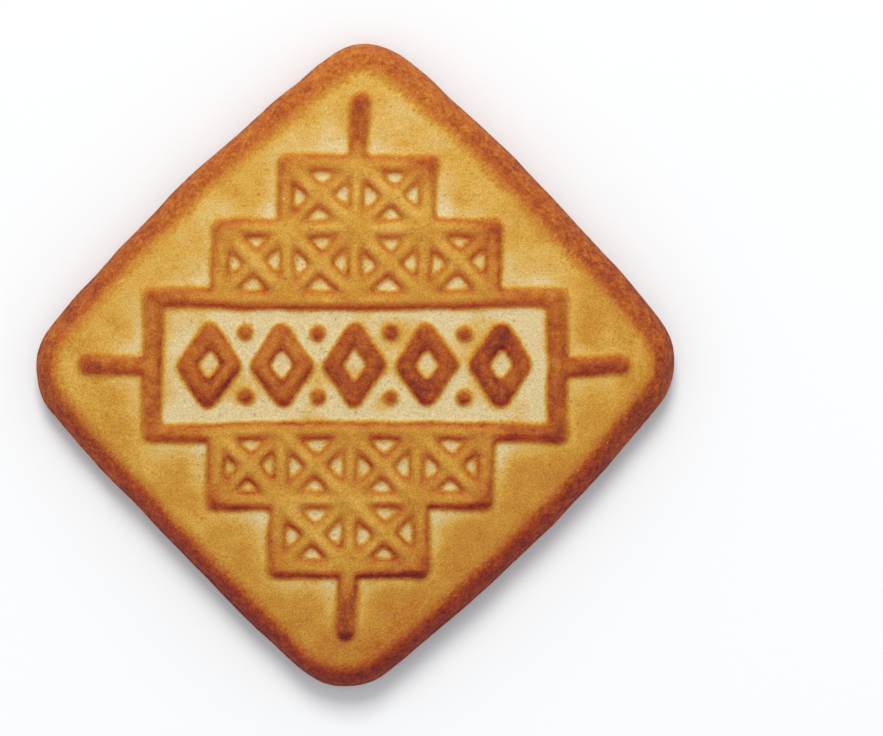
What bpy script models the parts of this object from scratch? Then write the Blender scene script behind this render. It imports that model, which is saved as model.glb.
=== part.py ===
"""A sugar biscuit, pressed from short dough in a mould and baked.

Seen from above it is a rounded square that stands on one corner. It has a flat base, a thick round
shoulder and a raised pattern on its face: a framed panel with a row of lozenges and dots, a stepped
lattice above and below the panel, and a bar out towards each corner. Metres, +Z up, with the origin at
the middle of the base.
"""

import math

import bmesh
import bpy
from mathutils import Vector, noise

MM = 0.001

# The outline: four round corners, anticlockwise from the top one, as centre x, centre y and radius. The
# side that follows each corner is a wide arc that runs smoothly into the corners at its two ends.
CORNERS = (
    (1.3 * MM, 29.8 * MM, 7.0 * MM),
    (-28.9 * MM, -0.5 * MM, 7.7 * MM),
    (-1.2 * MM, -28.7 * MM, 8.1 * MM),
    (28.6 * MM, 0.4 * MM, 8.0 * MM),
)
SIDE_RADII = (200 * MM, 440 * MM, 190 * MM, 250 * MM)
CORNER_STEPS = 8
SIDE_STEPS = 8

# The section of the edge, from the base up to the face
FACE_HEIGHT = 6.3 * MM
BASE_ROUND = 0.8 * MM
WALL_TOP = 3.3 * MM
WALL_LEAN = 0.5 * MM
SHOULDER_WIDTH = 2.8 * MM
BASE_STEPS = 2
SHOULDER_STEPS = 5

# The face swells a little towards its middle, and neither it nor the pattern is quite even
FACE_RINGS = (0.82, 0.62, 0.4, 0.18)
CROWN = 0.2 * MM
CROWN_REACH = 34 * MM
LUMP = 0.08 * MM
LUMP_LENGTH = 13 * MM
WANDER = 0.2 * MM
WANDER_LENGTH = 11 * MM
SEED = 4.7

# The lattice: each row's bottom, top, number of cells and width of a cell. It leans to the right
# towards the top.
UPPER_ROWS = ((7.75 * MM, 15.5 * MM, 4, 7.7 * MM), (15.5 * MM, 22.9 * MM, 2, 8.1 * MM))
LOWER_ROWS = ((-15.4 * MM, -7.9 * MM, 4, 7.7 * MM), (-23.2 * MM, -15.4 * MM, 2, 8.1 * MM))
LATTICE_OFFSET = -0.15 * MM
LATTICE_LEAN = 0.025

# The panel's frame, whose long bars bow in a little
PANEL_HALF_WIDTH = 23.1 * MM
PANEL_TOP = 7.75 * MM
PANEL_BOTTOM = -7.9 * MM
PANEL_BOW = 0.4 * MM
PANEL_STEPS = 6

# The bars out towards the corners, each from its foot to the middle of its round end
SPOKES = (
    ((0.3 * MM, 22.9 * MM), (0.8 * MM, 29.9 * MM)),
    ((-0.8 * MM, -23.2 * MM), (-1.0 * MM, -30.4 * MM)),
    ((-23.1 * MM, -0.1 * MM), (-30.5 * MM, 0.0)),
    ((23.1 * MM, -0.3 * MM), (30.4 * MM, 0.0)),
)

# The row of lozenges in the panel, with a dot above and a dot below each gap
LOZENGES = 5
LOZENGE_PITCH = 8.3 * MM
LOZENGE_HALF_WIDTH = 2.6 * MM
LOZENGE_HALF_HEIGHT = 3.7 * MM
DOT_RISE = 3.6 * MM
DOT_RADIUS = 0.88 * MM
DOT_HEIGHT = 0.7 * MM
DOT_SIDES = 10
DOT_TURNS = (0, 35, 65)

# Each kind of ridge as half its width and its height. Kinds that cross differ in height, so that one
# runs over the other. A ridge has a root below the face, a plain end that runs on inside its neighbour,
# and a corner cut short by a bend unless it is nearly straight.
FRAME_RIDGE = (1.02 * MM, 0.92 * MM)
LEVEL_RIDGE = (1.0 * MM, 0.86 * MM)
UPRIGHT_RIDGE = (0.96 * MM, 0.8 * MM)
FALLING_RIDGE = (0.98 * MM, 0.89 * MM)
RISING_RIDGE = (0.92 * MM, 0.73 * MM)
SPOKE_RIDGE = (1.0 * MM, 0.82 * MM)
LOZENGE_RIDGE = (0.96 * MM, 0.84 * MM)
RIDGE_STEPS = 4
END_TURNS = (35, 65, 82)
ROOT = 0.6 * MM
OVERRUN = 0.25 * MM
BEND = 1.05 * MM
NEARLY_STRAIGHT = -0.9

DOUGH_COLOUR = (0.60, 0.31, 0.075, 1.0)
DOUGH_ROUGHNESS = 0.62
SHARP_ANGLE = math.radians(40)


def clear_scene():
    for thing in list(bpy.data.objects):
        bpy.data.objects.remove(thing, do_unlink=True)


def wave(point, length, channel):
    """A smooth unevenness over the face, from about -1 to 1, with a separate one for each channel."""
    return noise.noise(Vector((point.x / length, point.y / length, channel + SEED)))


def face_height(point):
    """The height of the face at a place, without the pattern."""
    nearness = max(0.0, 1 - point.length_squared / CROWN_REACH**2)
    return FACE_HEIGHT + CROWN * nearness + LUMP * wave(point, LUMP_LENGTH, 0)


def wandered(x, y):
    """A place in the pattern, moved a little off its ideal position, alike for all ridges that meet there."""
    point = Vector((x, y))
    drift = Vector((wave(point, WANDER_LENGTH, 1), wave(point, WANDER_LENGTH, 2)))
    return point + drift * WANDER


def mesh_object(name, bm):
    bmesh.ops.recalc_face_normals(bm, faces=bm.faces)
    mesh = bpy.data.meshes.new(name)
    bm.to_mesh(mesh)
    bm.free()
    made = bpy.data.objects.new(name, mesh)
    bpy.context.scene.collection.objects.link(made)
    return made


def join_rings(bm, rings, closed=False):
    """Faces from each ring of points to the next, with the first and last filled or, if closed, joined."""
    loops = [[bm.verts.new(point) for point in ring] for ring in rings]
    pairs = list(zip(loops, loops[1:]))
    if closed:
        pairs.append((loops[-1], loops[0]))
    else:
        bm.faces.new(loops[0])
        bm.faces.new(loops[-1])
    for lower, upper in pairs:
        for index in range(len(lower)):
            following = (index + 1) % len(lower)
            bm.faces.new((lower[index], lower[following], upper[following], upper[index]))


def side_centres():
    """The centre of each side's wide arc, which touches the corner before it and the corner after it."""
    centres = []
    for index, side_radius in enumerate(SIDE_RADII):
        x0, y0, radius0 = CORNERS[index]
        x1, y1, radius1 = CORNERS[(index + 1) % len(CORNERS)]
        along = Vector((x1 - x0, y1 - y0))
        length = along.length
        along.normalize()
        outward = Vector((along.y, -along.x))
        reach0 = side_radius - radius0
        reach1 = side_radius - radius1
        forward = (reach0**2 - reach1**2 + length**2) / (2 * length)
        inward = math.sqrt(reach0**2 - forward**2)
        centres.append(Vector((x0, y0)) + along * forward - outward * inward)
    return centres


def arc(centre, radius, start, end, steps):
    """Points on an anticlockwise arc from start's direction towards end's, each with its outward normal."""
    first = math.atan2(start.y, start.x)
    turn = (math.atan2(end.y, end.x) - first) % math.tau
    for step in range(steps):
        angle = first + turn * step / steps
        normal = Vector((math.cos(angle), math.sin(angle)))
        yield centre + normal * radius, normal


def outline():
    """The outline's points with their outward normals, anticlockwise from the top corner's right end."""
    centres = side_centres()
    points = []
    for index, (x, y, radius) in enumerate(CORNERS):
        corner = Vector((x, y))
        next_corner = Vector(CORNERS[(index + 1) % len(CORNERS)][:2])
        centre = centres[index]
        points += arc(corner, radius, corner - centres[index - 1], corner - centre, CORNER_STEPS)
        points += arc(centre, SIDE_RADII[index], corner - centre, next_corner - centre, SIDE_STEPS)
    return points


def edge_profile():
    """The edge from the base up, as pairs of how far in from the outline and how high."""
    profile = []
    for step in range(BASE_STEPS + 1):
        turn = math.pi / 2 * step / BASE_STEPS
        profile.append((BASE_ROUND * (1 - math.sin(turn)), BASE_ROUND * (1 - math.cos(turn))))
    for step in range(SHOULDER_STEPS + 1):
        turn = math.pi / 2 * step / SHOULDER_STEPS
        inset = WALL_LEAN + SHOULDER_WIDTH * (1 - math.cos(turn))
        profile.append((inset, WALL_TOP + (FACE_HEIGHT - WALL_TOP) * math.sin(turn)))
    return profile


def make_body():
    """The biscuit without its pattern: rings from the flat base up the edge, then in over the face."""
    around = outline()
    rings = []
    for inset, height in edge_profile():
        ring = []
        for point, normal in around:
            place = point - normal * inset
            share = max(0.0, (height - WALL_TOP) / (FACE_HEIGHT - WALL_TOP))
            lift = share * (face_height(place) - FACE_HEIGHT)
            ring.append(place.to_3d() + Vector((0, 0, height + lift)))
        rings.append(ring)
    rim = [point.to_2d() for point in rings[-1]]
    for share in FACE_RINGS:
        places = [point * share for point in rim]
        rings.append([place.to_3d() + Vector((0, 0, face_height(place))) for place in places])
    bm = bmesh.new()
    join_rings(bm, rings)
    return mesh_object("biscuit", bm)


def ridge_ring(centre, across, half_width, height, share=1.0):
    """A ridge's section at one place: half an ellipse on the face and a root below, narrowed by share."""
    ring = []
    for step in range(RIDGE_STEPS + 1):
        turn = math.pi * step / RIDGE_STEPS
        place = centre + across * (half_width * share * math.cos(turn))
        ring.append(place.to_3d() + Vector((0, 0, face_height(place) + height * share * math.sin(turn))))
    for side in (-1, 1):
        place = centre + across * (half_width * share * side)
        ring.append(place.to_3d() + Vector((0, 0, face_height(place) - ROOT)))
    return ring


def left_of(direction):
    return Vector((-direction.y, direction.x))


def mitre(before, point, after):
    """The direction across a bent ridge at a point, longer than 1 so that its sides stay parallel."""
    incoming = (point - before).normalized()
    outgoing = (after - point).normalized()
    middle = (left_of(incoming) + left_of(outgoing)).normalized()
    return middle / middle.dot(left_of(incoming))


def make_bar(path, ridge, round_start=False, round_end=False):
    """A ridge along a path. A round end reaches past the path, and a plain one ends inside its neighbour."""
    half_width, height = ridge
    first = (path[0] - path[1]).normalized()
    last = (path[-1] - path[-2]).normalized()
    if not round_start:
        path = [path[0] + first * OVERRUN] + path[1:]
    if not round_end:
        path = path[:-1] + [path[-1] + last * OVERRUN]
    rings = [ridge_ring(path[0], left_of(-first), half_width, height)]
    for before, point, after in zip(path, path[1:], path[2:]):
        rings.append(ridge_ring(point, mitre(before, point, after), half_width, height))
    rings.append(ridge_ring(path[-1], left_of(last), half_width, height))
    for degrees in END_TURNS:
        turn = math.radians(degrees)
        reach = half_width * math.sin(turn)
        if round_start:
            tip = path[0] + first * reach
            rings.insert(0, ridge_ring(tip, left_of(-first), half_width, height, math.cos(turn)))
        if round_end:
            tip = path[-1] + last * reach
            rings.append(ridge_ring(tip, left_of(last), half_width, height, math.cos(turn)))
    bm = bmesh.new()
    join_rings(bm, rings)
    return mesh_object("bar", bm)


def make_loop(corners, ridge):
    """A ridge round a closed path, with each corner softened into a short bend."""
    half_width, height = ridge
    path = []
    for index, corner in enumerate(corners):
        towards_last = (corners[index - 1] - corner).normalized()
        towards_next = (corners[(index + 1) % len(corners)] - corner).normalized()
        if towards_last.dot(towards_next) < NEARLY_STRAIGHT:
            path.append(corner)
            continue
        start = corner + towards_last * BEND
        end = corner + towards_next * BEND
        path += [start, (start + end + corner * 2) / 4, end]
    rings = []
    for index, point in enumerate(path):
        across = mitre(path[index - 1], point, path[(index + 1) % len(path)])
        rings.append(ridge_ring(point, across, half_width, height))
    bm = bmesh.new()
    join_rings(bm, rings, closed=True)
    return mesh_object("loop", bm)


def make_dot(centre):
    """A low round knob on the face."""
    stages = [(1.0, -ROOT)]
    for degrees in DOT_TURNS:
        turn = math.radians(degrees)
        stages.append((math.cos(turn), DOT_HEIGHT * math.sin(turn)))
    rings = []
    for share, rise in stages:
        ring = []
        for side in range(DOT_SIDES):
            angle = math.tau * side / DOT_SIDES
            place = centre + Vector((math.cos(angle), math.sin(angle))) * (DOT_RADIUS * share)
            ring.append(place.to_3d() + Vector((0, 0, face_height(centre) + rise)))
        rings.append(ring)
    bm = bmesh.new()
    join_rings(bm, rings)
    return mesh_object("dot", bm)


def lattice_place(x, y):
    return wandered(x + LATTICE_OFFSET + LATTICE_LEAN * y, y)


def make_lattice_row(bottom, top, cells, cell_width):
    """The uprights and the crossed diagonals of one row of cells."""
    columns = [(index - cells / 2) * cell_width for index in range(cells + 1)]
    made = []
    for x in columns:
        made.append(make_bar([lattice_place(x, bottom), lattice_place(x, top)], UPRIGHT_RIDGE))
    for left, right in zip(columns, columns[1:]):
        made.append(make_bar([lattice_place(left, top), lattice_place(right, bottom)], FALLING_RIDGE))
        made.append(make_bar([lattice_place(left, bottom), lattice_place(right, top)], RISING_RIDGE))
    return made


def make_level(y, cells, cell_width):
    """A level bar of the lattice, round at both ends, which closes off a row of cells."""
    path = [lattice_place((index - cells / 2) * cell_width, y) for index in range(cells + 1)]
    return make_bar(path, LEVEL_RIDGE, round_start=True, round_end=True)


def make_lattice():
    made = []
    for bottom, top, cells, cell_width in UPPER_ROWS:
        made += make_lattice_row(bottom, top, cells, cell_width)
        made.append(make_level(top, cells, cell_width))
    for bottom, top, cells, cell_width in LOWER_ROWS:
        made += make_lattice_row(bottom, top, cells, cell_width)
        made.append(make_level(bottom, cells, cell_width))
    return made


def make_frame():
    """The panel's frame as one loop, anticlockwise from its lower left corner."""
    shares = [step / PANEL_STEPS for step in range(PANEL_STEPS + 1)]
    corners = []
    for share in shares:
        x = PANEL_HALF_WIDTH * (2 * share - 1)
        corners.append(wandered(x, PANEL_BOTTOM + PANEL_BOW * math.sin(math.pi * share)))
    for share in shares:
        x = PANEL_HALF_WIDTH * (1 - 2 * share)
        corners.append(wandered(x, PANEL_TOP - PANEL_BOW * math.sin(math.pi * share)))
    return make_loop(corners, FRAME_RIDGE)


def make_lozenges():
    """The row of lozenges, and the pair of dots in each gap between two of them."""
    made = []
    for index in range(LOZENGES):
        x = (index - (LOZENGES - 1) / 2) * LOZENGE_PITCH
        corners = [
            wandered(x + LOZENGE_HALF_WIDTH, 0),
            wandered(x, LOZENGE_HALF_HEIGHT),
            wandered(x - LOZENGE_HALF_WIDTH, 0),
            wandered(x, -LOZENGE_HALF_HEIGHT),
        ]
        made.append(make_loop(corners, LOZENGE_RIDGE))
        if index < LOZENGES - 1:
            gap = x + LOZENGE_PITCH / 2
            made.append(make_dot(wandered(gap, DOT_RISE)))
            made.append(make_dot(wandered(gap, -DOT_RISE)))
    return made


def make_spokes():
    made = []
    for foot, tip in SPOKES:
        path = [wandered(*foot), wandered(*tip)]
        made.append(make_bar(path, SPOKE_RIDGE, round_end=True))
    return made


def fuse(body, pieces):
    """Joins the pieces of the pattern to the body as one closed solid, and removes them.

    The exact solver leaves edges that touch where three ridges meet, so the manifold one is used.
    """
    pattern = bpy.data.collections.new("pattern")
    bpy.context.scene.collection.children.link(pattern)
    for piece in pieces:
        bpy.context.scene.collection.objects.unlink(piece)
        pattern.objects.link(piece)
    union = body.modifiers.new("fuse the pattern", "BOOLEAN")
    union.operation = "UNION"
    union.operand_type = "COLLECTION"
    union.collection = pattern
    union.solver = "MANIFOLD"
    bpy.context.view_layer.objects.active = body
    bpy.ops.object.modifier_apply(modifier=union.name)
    for piece in pieces:
        bpy.data.objects.remove(piece, do_unlink=True)
    bpy.data.collections.remove(pattern)


def baked_dough():
    material = bpy.data.materials.new("baked dough")
    material.use_nodes = True
    shader = material.node_tree.nodes["Principled BSDF"]
    shader.inputs["Base Color"].default_value = DOUGH_COLOUR
    shader.inputs["Roughness"].default_value = DOUGH_ROUGHNESS
    shader.inputs["Metallic"].default_value = 0.0
    return material


clear_scene()
biscuit = make_body()
fuse(biscuit, [make_frame()] + make_lattice() + make_spokes() + make_lozenges())
biscuit.data.materials.clear()
biscuit.data.materials.append(baked_dough())
biscuit.data.shade_smooth()
biscuit.data.set_sharp_from_angle(angle=SHARP_ANGLE)
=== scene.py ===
import math

import bpy
import numpy as np
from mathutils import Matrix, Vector


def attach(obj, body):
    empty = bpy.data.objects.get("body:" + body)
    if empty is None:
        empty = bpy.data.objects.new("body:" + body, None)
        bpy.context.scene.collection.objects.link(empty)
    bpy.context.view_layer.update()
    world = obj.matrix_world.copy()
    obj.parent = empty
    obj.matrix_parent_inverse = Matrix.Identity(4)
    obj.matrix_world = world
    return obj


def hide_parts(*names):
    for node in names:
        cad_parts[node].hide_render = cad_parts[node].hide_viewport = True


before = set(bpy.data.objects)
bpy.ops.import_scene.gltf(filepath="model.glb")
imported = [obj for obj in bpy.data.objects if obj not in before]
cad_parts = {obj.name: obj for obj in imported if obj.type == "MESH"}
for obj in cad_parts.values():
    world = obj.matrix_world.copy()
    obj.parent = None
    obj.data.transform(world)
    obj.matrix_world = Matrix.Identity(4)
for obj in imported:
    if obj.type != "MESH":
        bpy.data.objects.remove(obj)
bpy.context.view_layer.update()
MM = 0.001


# The camera looks straight down through a long lens. It stands a little to the right of the biscuit, so
# that the biscuit fills the left of the picture, with its upper corner at the top. A pixel has its
# measured size at the height of the shoulder.
IMAGE_WIDTH = 883
PIXEL = 0.1142 * MM
CAMERA_X = 9.87 * MM
CAMERA_Y = -0.36 * MM
LENS = 200
SENSOR = 36
MEASURED_HEIGHT = 5 * MM
NEAREST = 0.01
FARTHEST = 20

camera_data = bpy.data.cameras.new("camera")
camera_data.sensor_fit = "HORIZONTAL"
camera_data.sensor_width = SENSOR
camera_data.lens = LENS
camera = bpy.data.objects.new("camera", camera_data)
bpy.context.scene.collection.objects.link(camera)
distance = IMAGE_WIDTH * PIXEL * LENS / SENSOR
camera.location = (CAMERA_X, CAMERA_Y, MEASURED_HEIGHT + distance)
camera_data.clip_start = NEAREST
camera_data.clip_end = FARTHEST
bpy.context.scene.camera = camera


# The light is a wide soft lamp high beyond the upper corner, and an even glow from all round. The biscuit
# lies on a wide matt white board with a fine tooth.
LAMP_BEARING = math.radians(3)
LAMP_HEIGHT = math.radians(53)
LAMP_DISTANCE = 1.6
LAMP_SIZE = 0.6
LAMP_POWER = 14.2
LAMP_COLOUR = (1.04, 1.0, 0.95)
GLOW = 0.62
GLOW_COLOUR = (0.98, 1.0, 1.03, 1)
FLOOR_SIZE = 3.0
FLOOR_COLOUR = (0.93, 0.95, 0.965, 1)
FLOOR_ROUGHNESS = 0.9
FLOOR_GLOSS = 0.1
TOOTH_SCALE = 900
TOOTH_DEPTH = 0.02 * MM


def feed(tree, socket, value):
    """Joins an input to another node's output, or sets it to a constant."""
    if isinstance(value, bpy.types.NodeSocket):
        tree.links.new(value, socket)
    else:
        socket.default_value = value


def add_node(tree, kind, inputs=None, **settings):
    """A shader node with its settings and named inputs."""
    made = tree.nodes.new(kind)
    for name, value in settings.items():
        setattr(made, name, value)
    for name, value in (inputs or {}).items():
        feed(tree, made.inputs[name], value)
    return made


lamp_data = bpy.data.lights.new("soft lamp", "AREA")
lamp_data.energy = LAMP_POWER
lamp_data.color = LAMP_COLOUR
lamp_data.size = LAMP_SIZE
lamp = bpy.data.objects.new("soft lamp", lamp_data)
bpy.context.scene.collection.objects.link(lamp)
towards_lamp = Vector((
    -math.sin(LAMP_BEARING) * math.cos(LAMP_HEIGHT),
    math.cos(LAMP_BEARING) * math.cos(LAMP_HEIGHT),
    math.sin(LAMP_HEIGHT),
))
lamp.location = towards_lamp * LAMP_DISTANCE
lamp.rotation_euler = towards_lamp.to_track_quat("Z", "Y").to_euler()

world = bpy.data.worlds.new("even glow")
world.use_nodes = True
world.node_tree.nodes["Background"].inputs["Color"].default_value = GLOW_COLOUR
world.node_tree.nodes["Background"].inputs["Strength"].default_value = GLOW
bpy.context.scene.world = world
bpy.context.scene.view_settings.view_transform = "Standard"

bpy.ops.object.select_all(action="DESELECT")
bpy.ops.mesh.primitive_grid_add(x_subdivisions=4, y_subdivisions=4, size=FLOOR_SIZE)
floor = bpy.context.object
floor.name = "floor"
board = bpy.data.materials.new("white board")
board.use_nodes = True
board_shader = board.node_tree.nodes["Principled BSDF"]
board_shader.inputs["Base Color"].default_value = FLOOR_COLOUR
board_shader.inputs["Roughness"].default_value = FLOOR_ROUGHNESS
board_shader.inputs["Specular IOR Level"].default_value = FLOOR_GLOSS
board_place = add_node(board.node_tree, "ShaderNodeTexCoord").outputs["Object"]
board_tooth = add_node(board.node_tree, "ShaderNodeTexNoise", {"Vector": board_place, "Scale": TOOTH_SCALE})
board_bump = add_node(
    board.node_tree, "ShaderNodeBump", {"Height": board_tooth.outputs["Fac"], "Distance": TOOTH_DEPTH}
)
board.node_tree.links.new(board_bump.outputs["Normal"], board_shader.inputs["Normal"])
floor.data.materials.append(board)


# The pressed slab of dough. Its outline is drawn as with a compass: four round corners joined by wide
# arcs. The wall leans in a little and rolls over a thick shoulder on to the face.
CORNERS = (
    (1.3 * MM, 29.8 * MM, 7.0 * MM),
    (-28.9 * MM, -0.5 * MM, 7.7 * MM),
    (-1.2 * MM, -28.7 * MM, 8.1 * MM),
    (28.6 * MM, 0.4 * MM, 8.0 * MM),
)
SIDE_RADII = (200 * MM, 440 * MM, 190 * MM, 250 * MM)
ARC_STEPS = 24
FACE_HEIGHT = 6.3 * MM
BASE_ROUND = 0.8 * MM
BASE_STEPS = 4
WALL_TOP = 3.3 * MM
WALL_LEAN = 0.3 * MM
SHOULDER_WIDTH = 2.8 * MM
SHOULDER_STEPS = 12
WELD = 0.01 * MM
LEVEL_FACE = 0.9


def side_centre(first, second, side_radius):
    """The middle of a wide arc that touches two of the round corners from outside."""
    start = Vector(first[:2])
    along = Vector(second[:2]) - start
    length = along.length
    along.normalize()
    reach = side_radius - first[2]
    forward = (reach**2 - (side_radius - second[2]) ** 2 + length**2) / (2 * length)
    return start + along * forward - Vector((along.y, -along.x)) * math.sqrt(reach**2 - forward**2)


def choose(piece, wanted, kind="VERT"):
    """Opens a piece for editing with only those points or faces selected for which wanted is true."""
    bpy.ops.object.mode_set(mode="EDIT")
    bpy.ops.mesh.select_mode(type=kind)
    bpy.ops.mesh.select_all(action="DESELECT")
    bpy.ops.object.mode_set(mode="OBJECT")
    for element in piece.data.vertices if kind == "VERT" else piece.data.polygons:
        element.select = wanted(element)
    bpy.ops.object.mode_set(mode="EDIT")


centres = [side_centre(CORNERS[i], CORNERS[(i + 1) % 4], SIDE_RADII[i]) for i in range(4)]
turning = []
for i, (x, y, radius) in enumerate(CORNERS):
    corner = Vector((x, y))
    following = Vector(CORNERS[(i + 1) % 4][:2])
    turning.append((corner, corner - centres[i - 1], corner - centres[i]))
    turning.append((centres[i], corner - centres[i], following - centres[i]))
start = turning[0][0] + turning[0][1].normalized() * CORNERS[0][2]
bpy.ops.object.select_all(action="DESELECT")
bpy.ops.mesh.primitive_plane_add(size=MM, location=(start.x, start.y, BASE_ROUND))
biscuit = bpy.context.object
biscuit.name = "baked_biscuit"
bpy.ops.object.transform_apply(location=True, rotation=True, scale=True)
bpy.ops.object.mode_set(mode="EDIT")
bpy.ops.mesh.merge(type="CENTER")
for centre, first, last in turning:
    angle = (math.atan2(last.y, last.x) - math.atan2(first.y, first.x)) % math.tau
    bpy.ops.mesh.spin(steps=ARC_STEPS, angle=angle, center=centre.to_3d(), axis=(0, 0, -1))
bpy.ops.mesh.select_all(action="SELECT")
bpy.ops.mesh.remove_doubles(threshold=WELD)
bpy.ops.mesh.edge_face_add()
bpy.ops.mesh.extrude_region_move(TRANSFORM_OT_translate={"value": (0, 0, WALL_TOP - BASE_ROUND)})
bpy.ops.mesh.select_all(action="SELECT")
bpy.ops.mesh.normals_make_consistent(inside=False)
choose(biscuit, lambda face: face.normal.z > LEVEL_FACE, "FACE")
leaned = 0.0
risen = 0.0
for step in range(SHOULDER_STEPS + 1):
    turn = math.pi / 2 * step / SHOULDER_STEPS
    inward = WALL_LEAN + SHOULDER_WIDTH * (1 - math.cos(turn))
    upward = (FACE_HEIGHT - WALL_TOP) * math.sin(turn)
    bpy.ops.mesh.inset(thickness=inward - leaned, depth=upward - risen)
    leaned = inward
    risen = upward
choose(biscuit, lambda face: face.normal.z < -LEVEL_FACE, "FACE")
for step in range(BASE_STEPS):
    turn = math.pi / 2 * step / BASE_STEPS
    next_turn = math.pi / 2 * (step + 1) / BASE_STEPS
    inward = BASE_ROUND * (math.cos(turn) - math.cos(next_turn))
    bpy.ops.mesh.inset(thickness=inward, depth=BASE_ROUND * (math.sin(next_turn) - math.sin(turn)))
bpy.ops.object.mode_set(mode="OBJECT")


# The frame of the panel: bars of dough that stand up from the face, where the mould has grooves cut with a
# pointed tool. Each is a ball drawn out to the bar's other end and pressed low, with sloping flanks, and
# given by half its width, its height and how far its flanks slope. The long bars bow in a little.
PANEL_HALF_WIDTH = 23.1 * MM
PANEL_TOP = 7.75 * MM
PANEL_BOTTOM = -7.9 * MM
PANEL_BOW = 0.4 * MM
PANEL_STEPS = 6
FRAME_BAR = (1.22 * MM, 1.00 * MM, 1.5)
BALL_SEGMENTS = 28
BALL_RINGS = 11

pattern = []


def lay_bar(start, end, size):
    """One bar with round ends, from one place on the face to another."""
    half_width, height, slope = size
    run = (Vector(end) - Vector(start)).to_3d()
    bpy.ops.object.select_all(action="DESELECT")
    bpy.ops.mesh.primitive_uv_sphere_add(
        segments=BALL_SEGMENTS,
        ring_count=BALL_RINGS,
        radius=half_width,
        location=(start[0], start[1], FACE_HEIGHT),
        rotation=(0, math.pi / 2, math.atan2(run.y, run.x)),
    )
    bar = bpy.context.object
    choose(bar, lambda point: point.co.z > 0)
    bpy.ops.transform.translate(value=run)
    bpy.ops.mesh.select_all(action="SELECT")
    bpy.ops.transform.resize(
        value=(1, 1, height / half_width), center_override=(start[0], start[1], FACE_HEIGHT)
    )
    bpy.ops.object.mode_set(mode="OBJECT")
    bpy.ops.object.transform_apply(location=False, rotation=True, scale=True)
    for point in bar.data.vertices:
        if point.co.z > 0:
            point.co.z = height * (point.co.z / height) ** slope
    pattern.append(bar)


def lay_line(places, size):
    for start, end in zip(places, places[1:]):
        lay_bar(start, end, size)


bottom = []
top = []
for step in range(PANEL_STEPS + 1):
    share = step / PANEL_STEPS
    bow = PANEL_BOW * math.sin(math.pi * share)
    bottom.append((PANEL_HALF_WIDTH * (2 * share - 1), PANEL_BOTTOM + bow))
    top.append((PANEL_HALF_WIDTH * (1 - 2 * share), PANEL_TOP - bow))
lay_line(bottom + top + bottom[:1], FRAME_BAR)


# The stepped lattice: two rows of square cells above the panel and two below, each cell crossed by two
# bars. The mould was cut by hand, so the uprights stand at slightly uneven places. A row is its near and
# far height and the places of its uprights in mm.
LEVEL_BAR = (1.20 * MM, 1.00 * MM, 1.5)
END_BAR = (1.16 * MM, 0.96 * MM, 1.5)
UPRIGHT_BAR = (1.10 * MM, 0.93 * MM, 1.6)
FALLING_BAR = (1.20 * MM, 1.14 * MM, 1.6)
RISING_BAR = (1.08 * MM, 0.89 * MM, 1.6)
LATTICE_LEAN = 0.025
ROWS = (
    (7.75 * MM, 15.5 * MM, (-15.5, -8.05, -0.3, 7.5, 15.3)),
    (15.5 * MM, 22.9 * MM, (-8.3, -0.35, 7.85)),
    (-7.9 * MM, -15.4 * MM, (-15.45, -8.1, -0.2, 7.3, 15.2)),
    (-15.4 * MM, -23.2 * MM, (-8.3, -0.15, 7.9)),
)


def leaning(x, y):
    return x + LATTICE_LEAN * y, y


for near, far, columns in ROWS:
    low = [leaning(x * MM, min(near, far)) for x in columns]
    high = [leaning(x * MM, max(near, far)) for x in columns]
    lay_line(high if far > near else low, LEVEL_BAR)
    for foot, head in zip(low, high):
        lay_bar(foot, head, END_BAR if foot in (low[0], low[-1]) else UPRIGHT_BAR)
    for i in range(len(columns) - 1):
        lay_bar(high[i], low[i + 1], FALLING_BAR)
        lay_bar(low[i], high[i + 1], RISING_BAR)


# Four single bars that run from the pattern out towards the corners. They are bars of dough like those of
# the frame, a little lower, and each leans as it does on the real piece.
SPOKE_BAR = (1.16 * MM, 0.94 * MM, 1.5)
SPOKES = (
    ((0.2 * MM, 22.9 * MM), (0.8 * MM, 29.9 * MM)),
    ((-0.8 * MM, -23.2 * MM), (-1.0 * MM, -30.4 * MM)),
    ((-23.1 * MM, -0.1 * MM), (-30.5 * MM, 0.0)),
    ((23.1 * MM, -0.3 * MM), (30.4 * MM, 0.0)),
)

for foot, tip in SPOKES:
    lay_bar(foot, tip, SPOKE_BAR)


# The ornament in the panel: a row of lozenges, with a dot above and a dot below each gap between them.
# A lozenge is four bars end to end, and a dot is a ball pressed low.
LOZENGES = 5
LOZENGE_PITCH = 8.3 * MM
LOZENGE_HALF_WIDTH = 2.6 * MM
LOZENGE_HALF_HEIGHT = 3.7 * MM
LOZENGE_BAR = (1.12 * MM, 0.96 * MM, 1.5)
DOT_RISE = 3.6 * MM
DOT_BALL = (1.02 * MM, 0.82 * MM, 1.5)
DOT_LENGTH = 0.01 * MM

for i in range(LOZENGES):
    x = (i - (LOZENGES - 1) / 2) * LOZENGE_PITCH
    side = ((x + LOZENGE_HALF_WIDTH, 0), (x, LOZENGE_HALF_HEIGHT))
    other = ((x - LOZENGE_HALF_WIDTH, 0), (x, -LOZENGE_HALF_HEIGHT))
    lay_line(side + other + side[:1], LOZENGE_BAR)
    if i < LOZENGES - 1:
        gap = x + LOZENGE_PITCH / 2
        for rise in (DOT_RISE, -DOT_RISE):
            lay_bar((gap, rise), (gap + DOT_LENGTH, rise), DOT_BALL)


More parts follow.
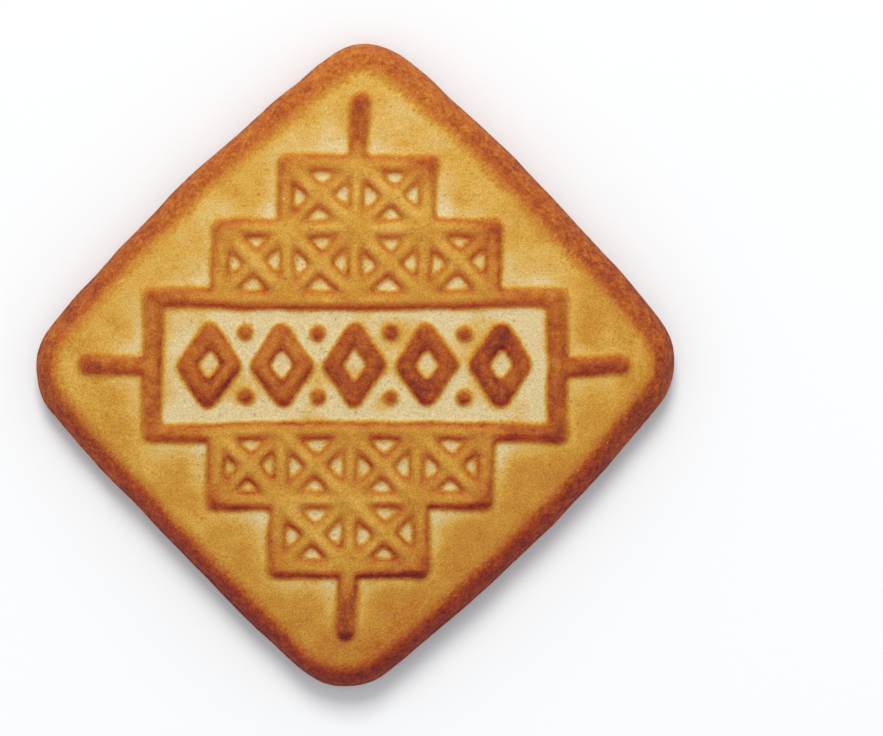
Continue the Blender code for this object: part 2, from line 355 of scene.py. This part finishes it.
# The bake makes one body of slab and pattern. Heat rounds the feet of the bars, swells the face towards
# its middle and leaves it uneven, from a drift in the lines down to the grain of the dough.
VOXEL = 0.316 * MM
SOFTENING = 2
SOFTNESS = 0.5
ABOVE_BASE = "above the base"
CROWN = 0.2 * MM
CROWN_REACH = 34 * MM
UNEVENNESS = (
    ("drift across", "ORIGINAL_PERLIN", "X", 8 * MM, 0.8 * MM),
    ("drift along", "IMPROVED_PERLIN", "Y", 7 * MM, 0.8 * MM),
    ("broad lumps", "BLENDER_ORIGINAL", "NORMAL", 13 * MM, 0.16 * MM),
    ("small lumps", "BLENDER_ORIGINAL", "NORMAL", 3 * MM, 0.07 * MM),
    ("grain", "BLENDER_ORIGINAL", "NORMAL", 0.7 * MM, 0.05 * MM),
)


def finish_with(kind, **settings):
    """Adds a modifier to the biscuit and applies it."""
    modifier = biscuit.modifiers.new(kind.lower(), kind)
    for name, value in settings.items():
        setattr(modifier, name, value)
    bpy.ops.object.modifier_apply(modifier=modifier.name)


bpy.ops.object.select_all(action="DESELECT")
for bar in pattern:
    bar.select_set(True)
biscuit.select_set(True)
bpy.context.view_layer.objects.active = biscuit
bpy.ops.object.join()
finish_with("REMESH", mode="VOXEL", voxel_size=VOXEL)
finish_with("SMOOTH", factor=SOFTNESS, iterations=SOFTENING)
above_base = biscuit.vertex_groups.new(name=ABOVE_BASE)
for vertex in biscuit.data.vertices:
    weight = min(1.0, max(0.0, (vertex.co.z - BASE_ROUND / 2) / (WALL_TOP - BASE_ROUND / 2)))
    above_base.add([vertex.index], weight, "REPLACE")
for name, basis, direction, length, height in UNEVENNESS:
    clouds = bpy.data.textures.new(name, "CLOUDS")
    clouds.noise_basis = basis
    clouds.noise_scale = length
    clouds.noise_depth = 1
    finish_with(
        "DISPLACE",
        texture=clouds,
        texture_coords="LOCAL",
        direction=direction,
        strength=height,
        vertex_group=ABOVE_BASE,
    )
for vertex in biscuit.data.vertices:
    nearness = max(0.0, 1 - vertex.co.xy.length_squared / CROWN_REACH**2)
    share = min(1.0, max(0.0, (vertex.co.z - WALL_TOP) / (FACE_HEIGHT - WALL_TOP)))
    vertex.co.z += CROWN * nearness * share
biscuit.vertex_groups.clear()
bpy.ops.object.shade_smooth()


# How the oven browns it, from 0 for pale to 1 for dark. Bars that stand alone brown most, crowded bars stay
# gold, and the dough close beside them stays palest. The flanks that face the lower corner, away from the
# lamp,
# get painted shade: browner and tinted red. It is stored on the points, with the painted shade and the
# distance from the outline.
CELL = 0.25 * MM
GRID = 320
LAST_SPOT = GRID - 1.001
FEWEST_POINTS = 0.2
BELL_REACH = 3
SEED = 5
BAR_SHADE_REACH = 2.2 * MM
DOUGH_SHADE_REACH = 1.9 * MM
RAGGED_EDGE = 0.04 * MM


def spread_out(grid, spread):
    """A grid blurred both ways by a bell curve."""
    reach = int(BELL_REACH * spread / CELL)
    bell = np.exp(-0.5 * (np.arange(-reach, reach + 1) * CELL / spread) ** 2)
    for axis in (0, 1):
        grid = np.apply_along_axis(np.convolve, axis, grid, bell / bell.sum(), "same")
    return grid


def read_off(grid, places):
    """The grid's values at these places, evenly between its cells."""
    spots = np.clip(places[:, :2] / CELL + GRID / 2, 0, LAST_SPOT)
    i, j = spots.astype(int).T
    x, y = (spots - spots.astype(int)).T
    near = grid[i, j] * (1 - y) + grid[i, j + 1] * y
    far = grid[i + 1, j] * (1 - y) + grid[i + 1, j + 1] * y
    return near * (1 - x) + far * x


def eased(values, low, high):
    """Smoothly from 0 at low to 1 at high."""
    share = np.clip((values - low) / (high - low), 0, 1)
    return share * share * (3 - 2 * share)


points = np.empty(len(biscuit.data.vertices) * 3)
biscuit.data.vertices.foreach_get("co", points)
points = points.reshape(-1, 3)
across, along, up = points.T
upper = points[up > WALL_TOP]
crown = CROWN * np.clip(1 - (upper[:, 0] ** 2 + upper[:, 1] ** 2) / CROWN_REACH**2, 0, 1)
cells = tuple(np.round(upper[:, :2] / CELL).astype(int).T + GRID // 2)
counted = np.zeros((GRID, GRID))
summed = np.zeros((GRID, GRID))
np.add.at(counted, cells, 1)
np.add.at(summed, cells, np.clip(upper[:, 2] - FACE_HEIGHT - crown, 0, None) / MM)
relief = spread_out(summed, CELL) / np.maximum(spread_out(counted, CELL), FEWEST_POINTS)
chance = np.random.default_rng(SEED)
ragged = points + chance.normal(0, RAGGED_EDGE, points.shape)
proud = read_off(relief, ragged)
crowd = read_off(spread_out(relief, DOUGH_SHADE_REACH), points)
wide = read_off(spread_out(relief, BAR_SHADE_REACH), points)

# The bars: flanks and crests by how crowded they are, paler along the ridges of crowded bars, and all a
# little browner to the lower right and towards the tips. On crowded bars the paler crests are partly
# painted highlight and the browner flanks partly painted shade in the furrows between them.
FLANK_TOAST = ((0.15, 0.71), (0.31, 0.72), (0.44, 0.75), (0.57, 0.72), (0.73, 0.68))
CREST_TOAST = ((0.15, 0.80), (0.31, 0.80), (0.44, 0.73), (0.54, 0.56), (0.68, 0.42))
CREST = (0.48, 0.90)
BAR_LEAN = (0.8, -0.6)
RIDGE_REACH = 0.7 * MM
RIDGE_CROWD = (0.34, 0.48)
RIDGE_PALER_AND_HIGHLIGHT = 0.6
TIP = (22 * MM, 31 * MM)
TIP_TOAST = 0.04

flank_toast = np.interp(wide, *zip(*FLANK_TOAST))
crest_toast = np.interp(wide, *zip(*CREST_TOAST))
bar_toast = flank_toast + (crest_toast - flank_toast) * eased(proud, *CREST)
bar_toast += BAR_LEAN[0] * across + BAR_LEAN[1] * along
ridge = proud - read_off(spread_out(relief, RIDGE_REACH), ragged)
bar_toast -= RIDGE_PALER_AND_HIGHLIGHT * ridge * eased(wide, *RIDGE_CROWD)
bar_toast += TIP_TOAST * eased(np.hypot(across, along), *TIP)

# The dough between them, with a yellow fringe at the foot of each bar
DOUGH_TOAST = ((0.0, 0.38), (0.1, 0.35), (0.21, 0.26), (0.31, 0.10), (0.42, 0.0))
OPEN_DOUGH = (0.05, 0.35)
DOUGH_LEAN = (0.95, -5.05)
FRINGE_REACH = 0.45 * MM
FRINGE = (0.06, 0.28)
FRINGE_OPEN = (0.35, 0.50)
FRINGE_TOAST = 0.20

dough_toast = np.interp(crowd, *zip(*DOUGH_TOAST))
# The open dough is browner towards the lower right
dough_toast += (DOUGH_LEAN[0] * across + DOUGH_LEAN[1] * along) * (1 - eased(crowd, *OPEN_DOUGH))
fringe = eased(read_off(spread_out(relief, FRINGE_REACH), ragged), *FRINGE)
dough_toast += FRINGE_TOAST * fringe * (1 - eased(crowd, *FRINGE_OPEN))

# The panel, where the dough is paler and the bars are browner, and patches everywhere
PANEL_MARGIN = 2 * MM
PANEL_TOAST = 0.09
PANEL_PALER = 0.10
PATCH_REACH = 1.1 * MM
BAR_PATCHES = 0.02
DOUGH_PATCHES = 0.044
PANEL_PATCHES = 0.066

in_panel = 1 - eased(np.abs(across), PANEL_HALF_WIDTH - PANEL_MARGIN, PANEL_HALF_WIDTH)
in_panel *= 1 - eased(np.abs(along), PANEL_TOP - PANEL_MARGIN, PANEL_TOP)
patches = spread_out(chance.normal(0, 1, (GRID, GRID)), PATCH_REACH)
patches = read_off(patches / patches.std(), points)
bar_toast += PANEL_TOAST * in_panel + BAR_PATCHES * patches
dough_toast -= PANEL_PALER * in_panel
dough_toast += (DOUGH_PATCHES + PANEL_PATCHES * in_panel) * patches

# Both together, with painted shade on the flanks that face the lower corner, away from the lamp: browner
# and tinted red. A hot spot is its x, its y and its reach in mm, and how much browner it is. The underside
# browned evenly on the tray.
BAR_FOOT = 0.08
BAR_TOP = 0.52
CROWDED = 0.45
CROWDED_FOOT = 0.4
PAINTED_SHADE_SLOPE = (0.10, 0.65)
PAINTED_SHADE_TOAST = 0.05
PAINTED_SHADE_LEAN = -4.0
HOT_SPOTS = (
    (13.5, 12.0, 3.5, 0.09),
    (20.5, 7.3, 3.0, -0.06),
    (-22.0, -7.5, 2.5, -0.06),
    (-23.2, 3.5, 2.5, -0.05),
    (-9.5, 8.5, 2.0, 0.05),
    (26.0, -1.0, 3.5, 0.03),
    (-0.4, -31.5, 2.5, 0.04),
    (1.5, 29.0, 2.5, 0.03),
    (8.8, 19.5, 2.0, -0.05),
)
UNDERSIDE_TOAST = 0.50
UNDERSIDE_PATCHES = 0.03

on_bar = eased(proud - CROWDED_FOOT * np.clip(crowd - CROWDED, 0, None), BAR_FOOT, BAR_TOP)
baked = dough_toast + (bar_toast - dough_toast) * on_bar
painted_shade = on_bar * eased(read_off(np.gradient(relief, CELL / MM, axis=1), points), *PAINTED_SHADE_SLOPE)
baked += painted_shade * (PAINTED_SHADE_TOAST + PAINTED_SHADE_LEAN * along)
for x, y, reach, hotter in HOT_SPOTS:
    away = np.hypot(across / MM - x, along / MM - y)
    baked += hotter * np.exp(-0.5 * (away / reach) ** 2)
underside = UNDERSIDE_TOAST + UNDERSIDE_PATCHES * patches
baked = underside + (baked - underside) * eased(up, BASE_ROUND, WALL_TOP)

# How far each point lies in from the outline, for the browned rim, and painted shade on the lower shoulder,
# which faces away from the lamp
RAGGED_RIM = 0.18 * MM
RIM_PAINTED_SHADE_ROUND = (-20 * MM, 5 * MM)
RIM_PAINTED_SHADE_INSET = (1.2, 3.0)
RIM_PAINTED_SHADE_RISE = (1.0 * MM, 4.5 * MM)

outline = []
for i, (centre, first, last) in enumerate(turning):
    radius = SIDE_RADII[i // 2] if i % 2 else CORNERS[i // 2][2]
    begin = math.atan2(first.y, first.x)
    angle = (math.atan2(last.y, last.x) - begin) % math.tau
    for step in range(ARC_STEPS):
        heading = begin + angle * step / ARC_STEPS
        outline.append((centre.x + radius * math.cos(heading), centre.y + radius * math.sin(heading)))
outline = np.array(outline)
inset = np.full(len(points), np.inf)
for corner, side in zip(outline, np.roll(outline, -1, axis=0) - outline):
    share = np.clip(((points[:, :2] - corner) @ side) / (side @ side), 0, 1)
    nearest = corner + share[:, None] * side
    inset = np.minimum(inset, np.hypot(*(points[:, :2] - nearest).T))
inset = (inset + chance.normal(0, RAGGED_RIM, len(points))) / MM
rim_painted_shade = (1 - eased(inset, *RIM_PAINTED_SHADE_INSET)) * (1 - eased(along, *RIM_PAINTED_SHADE_ROUND))
painted_shade = np.maximum(painted_shade, rim_painted_shade) * eased(up, *RIM_PAINTED_SHADE_RISE)
for name, values in (("baked", baked), ("painted_shade", painted_shade), ("inset", inset)):
    stored = biscuit.data.attributes.new(name, "FLOAT", "POINT")
    stored.data.foreach_set("value", values.astype(np.float32))


# The baked crust: cream where it is pale, through yellow and gold to red-brown on the bars and the
# shoulder. It is one material, whose colour follows the browning with mottles of four sizes laid over it.
CRUST_COLOURS = (
    (0.00, (0.715, 0.575, 0.305)),
    (0.15, (0.682, 0.458, 0.142)),
    (0.30, (0.655, 0.370, 0.066)),
    (0.42, (0.580, 0.284, 0.039)),
    (0.54, (0.540, 0.235, 0.033)),
    (0.68, (0.510, 0.174, 0.026)),
    (0.80, (0.415, 0.097, 0.016)),
    (0.90, (0.300, 0.053, 0.0185)),
    (1.00, (0.172, 0.034, 0.017)),
)
MOTTLE_ROUGHNESS = 0.6
BROAD = (8 * MM, 2, 0.07)
PATCHY = (2.4 * MM, 3, 0.07)
CRUMBLY = (1.0 * MM, 3, 0.045)
GRAIN = (0.45 * MM, 2, 0.045)
CRUMBLY_PALE = 0.3
CRUMBLY_RISE = 2.2

crust = bpy.data.materials.new("baked crust")
crust.use_nodes = True
tree = crust.node_tree
shader = tree.nodes["Principled BSDF"]
place = add_node(tree, "ShaderNodeTexCoord").outputs["Object"]
spot = add_node(tree, "ShaderNodeSeparateXYZ", {"Vector": place}).outputs


def calc(operation, first, second=0.0, third=0.0):
    made = add_node(tree, "ShaderNodeMath", operation=operation)
    for socket, value in zip(made.inputs, (first, second, third)):
        feed(tree, socket, value)
    return made.outputs[0]


def total(*parts):
    """The sum of any number of values."""
    made = parts[0]
    for part in parts[1:]:
        made = calc("ADD", made, part)
    return made


def clouds_of(size, detail=2.0, roughness=0.5):
    """Cloudy noise of one size."""
    settings = {"Vector": place, "Scale": 1 / size, "Detail": detail, "Roughness": roughness}
    return add_node(tree, "ShaderNodeTexNoise", settings).outputs


def mottle(size, detail, swing):
    """Cloudy variation of one size, from about minus swing to swing."""
    clouds = clouds_of(size, detail, MOTTLE_ROUGHNESS)
    return calc("MULTIPLY", calc("SUBTRACT", clouds["Fac"], 0.5), 4 * swing)


def ranged(value, low, high, first, last, smooth=False):
    """Takes low to first and high to last, and what lies between in step."""
    made = add_node(
        tree,
        "ShaderNodeMapRange",
        {"Value": value, "From Min": low, "From Max": high, "To Min": first, "To Max": last},
        interpolation_type="SMOOTHSTEP" if smooth else "LINEAR",
    )
    return made.outputs["Result"]


def stored_value(name):
    return add_node(tree, "ShaderNodeAttribute", attribute_name=name).outputs["Fac"]


broad = mottle(*BROAD)
patchy = mottle(*PATCHY)
crumbly = mottle(*CRUMBLY)
grain = mottle(*GRAIN)
crumbly_share = calc("MULTIPLY_ADD", stored_value("baked"), CRUMBLY_RISE, CRUMBLY_PALE)
toast = total(stored_value("baked"), broad, patchy, grain, calc("MULTIPLY", crumbly, crumbly_share))

# The rim: a brown band with a wavering, crumbly inner edge, narrower below, and darkest at its outer edge
# and foot, partly real browning and partly painted contact shadow
RIM_START = 1.75
RIM_END = 3.75
RIM_SHIFT = (7.5, 18)
RIM_WAVER = 4.0
RIM_FRAY = 7.0
# The outer edge and the foot are darkest: partly real browning and partly painted contact shadow
RIM_TOAST = ((0.1, 0.87), (1.2, 0.84))
# The rim browns more towards the lower side: partly real browning, partly painted shade on the lower
# shoulder, which faces away from the lamp
RIM_LEAN = (0.5, -2.6)
RIM_CRUMB = 2.2
FOOT_RISE = (1.2 * MM, 3.3 * MM)
FOOT_TOAST_AND_SHADE = 0.14


def across_face(slopes):
    """A value that changes evenly across the face, by so much a metre."""
    return total(calc("MULTIPLY", spot["X"], slopes[0]), calc("MULTIPLY", spot["Y"], slopes[1]))


edge = stored_value("inset")
wavering = total(
    calc("SUBTRACT", edge, across_face(RIM_SHIFT)),
    calc("MULTIPLY", total(broad, patchy), RIM_WAVER),
    calc("MULTIPLY", total(crumbly, grain), RIM_FRAY),
)
rim = ranged(wavering, RIM_START, RIM_END, 1, 0, True)
(outer, outer_toast), (inner, inner_toast) = RIM_TOAST
rim_toast = total(
    ranged(edge, outer, inner, outer_toast, inner_toast),
    across_face(RIM_LEAN),
    patchy,
    calc("MULTIPLY", total(crumbly, grain), RIM_CRUMB),
    ranged(spot["Z"], *FOOT_RISE, FOOT_TOAST_AND_SHADE, 0.0),
)
toast = total(calc("MULTIPLY", toast, calc("SUBTRACT", 1.0, rim)), calc("MULTIPLY", rim_toast, rim))

# The colour: sandy and lighter towards the top as painted light, with the red tint of the painted shade,
# pores painted dark as painted shade, specks of bran, and a few grains of sugar that also stand in for
# painted glints
SAND = (0.2 * MM, 2.0, 0.8)
SAND_SPAN = (0.2, 0.8)
SAND_VALUE = (0.69, 1.31)
SAND_SATURATION = (1.12, 0.88)
PAINTED_LIGHT_LEAN = 2.6
# Painted shade: how strongly the flanks and the lower shoulder that face away from the lamp are tinted red
PAINTED_SHADE = 0.8
PAINTED_SHADE_TINT = (1.10, 0.66, 1.05, 1)
PORE_SIZE = 0.40 * MM
PORE_SPAN = (0.62, 0.74)
PORE_SHARE = 0.55
RAGGED = 0.12 * MM
SMALLEST_GRAIN = 0.5
GRAIN_EDGE = (0.4, 1.0)
SPECKS = (1.3 * MM, 0.16, 0.14 * MM)
SPECK_SHARE = 0.5
SPECK_COLOUR = (0.24, 0.075, 0.018, 1)
SUGAR = (1.6 * MM, 0.06, 0.10 * MM)
SUGAR_SHARE = 0.7
SUGAR_AND_GLINT_COLOUR = (0.95, 0.78, 0.55, 1)


def sprinkled(spacing, share, size):
    """Small grains, as a mask: of all cells of the given spacing, this share holds one."""
    cells = add_node(tree, "ShaderNodeTexVoronoi", {"Vector": frayed, "Scale": 1 / spacing})
    draw = add_node(tree, "ShaderNodeSeparateColor", {"Color": cells.outputs["Color"]})
    there = calc("LESS_THAN", draw.outputs["Red"], share)
    radius = calc("MULTIPLY_ADD", draw.outputs["Green"], size / spacing, size / spacing * SMALLEST_GRAIN)
    disc = ranged(calc("DIVIDE", cells.outputs["Distance"], radius), *GRAIN_EDGE, 1, 0, True)
    return calc("MULTIPLY", disc, there)


def blend(share, first, second, way="MIX"):
    """Two colours mixed, with none of the second where share is 0."""
    made = add_node(tree, "ShaderNodeMix", data_type="RGBA", blend_type=way)
    for index, value in ((0, share), (6, first), (7, second)):
        feed(tree, made.inputs[index], value)
    return made.outputs[2]


ramp = add_node(tree, "ShaderNodeValToRGB", {"Fac": toast})
stops = ramp.color_ramp.elements
while len(stops) < len(CRUST_COLOURS):
    stops.new(0.5)
for stop, (position, colour) in zip(stops, CRUST_COLOURS):
    stop.position = position
    stop.color = (*colour, 1)
sand = clouds_of(*SAND)["Fac"]
sandy_value = ranged(sand, *SAND_SPAN, *SAND_VALUE)
# Painted light and shade: the colour is lighter towards the top of the face and darker towards the bottom
sandy = {
    "Color": ramp.outputs["Color"],
    "Value": calc("MULTIPLY_ADD", spot["Y"], PAINTED_LIGHT_LEAN, sandy_value),
    "Saturation": ranged(sand, *SAND_SPAN, *SAND_SATURATION),
}
colour = add_node(tree, "ShaderNodeHueSaturation", sandy).outputs["Color"]
colour = blend(calc("MULTIPLY", stored_value("painted_shade"), PAINTED_SHADE), colour, PAINTED_SHADE_TINT, "MULTIPLY")
# Pores painted dark in the bran colour: painted shade in the small holes of the crust
pore_shade = ranged(clouds_of(PORE_SIZE)["Fac"], *PORE_SPAN, 0, PORE_SHARE, True)
colour = blend(pore_shade, colour, SPECK_COLOUR)
fraying = add_node(tree, "ShaderNodeVectorMath", operation="MULTIPLY_ADD")
for socket, value in zip(fraying.inputs, (clouds_of(2 * RAGGED)["Color"], (2 * RAGGED,) * 3, place)):
    feed(tree, socket, value)
frayed = fraying.outputs["Vector"]
colour = blend(calc("MULTIPLY", sprinkled(*SPECKS), SPECK_SHARE), colour, SPECK_COLOUR)
# Grains of sugar in pale cream; they also stand in for small glints, so they are partly painted highlight
colour = blend(calc("MULTIPLY", sprinkled(*SUGAR), SUGAR_SHARE), colour, SUGAR_AND_GLINT_COLOUR)
tree.links.new(colour, shader.inputs["Base Color"])

# The surface: matt and a little see-through like dough, with fine crumb and sand in relief
ROUGHNESS = 0.74
ROUGHNESS_MOTTLE = (0.8 * MM, 2, 0.06)
IOR = 1.22
SUBSURFACE = 0.25
SUBSURFACE_COLOURS = (1.0, 0.3, 0.1)
SUBSURFACE_DEPTH = 0.5 * MM
CRUMB = (0.8 * MM, 3.0)
CRUMB_DEPTH = 0.14 * MM
SAND_DEPTH = 0.05 * MM

tree.links.new(total(mottle(*ROUGHNESS_MOTTLE), ROUGHNESS), shader.inputs["Roughness"])
shader.inputs["IOR"].default_value = IOR
shader.inputs["Subsurface Weight"].default_value = SUBSURFACE
shader.inputs["Subsurface Radius"].default_value = SUBSURFACE_COLOURS
shader.inputs["Subsurface Scale"].default_value = SUBSURFACE_DEPTH
crumb = {"Height": clouds_of(*CRUMB)["Fac"], "Distance": CRUMB_DEPTH, "Strength": 1.0}
crumb_bumps = add_node(tree, "ShaderNodeBump", crumb).outputs["Normal"]
sand_relief = {"Height": sand, "Distance": SAND_DEPTH, "Strength": 1.0, "Normal": crumb_bumps}
bumps = add_node(tree, "ShaderNodeBump", sand_relief).outputs["Normal"]
tree.links.new(bumps, shader.inputs["Normal"])
biscuit.data.materials.clear()
biscuit.data.materials.append(crust)
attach(biscuit, "root")
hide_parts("biscuit")
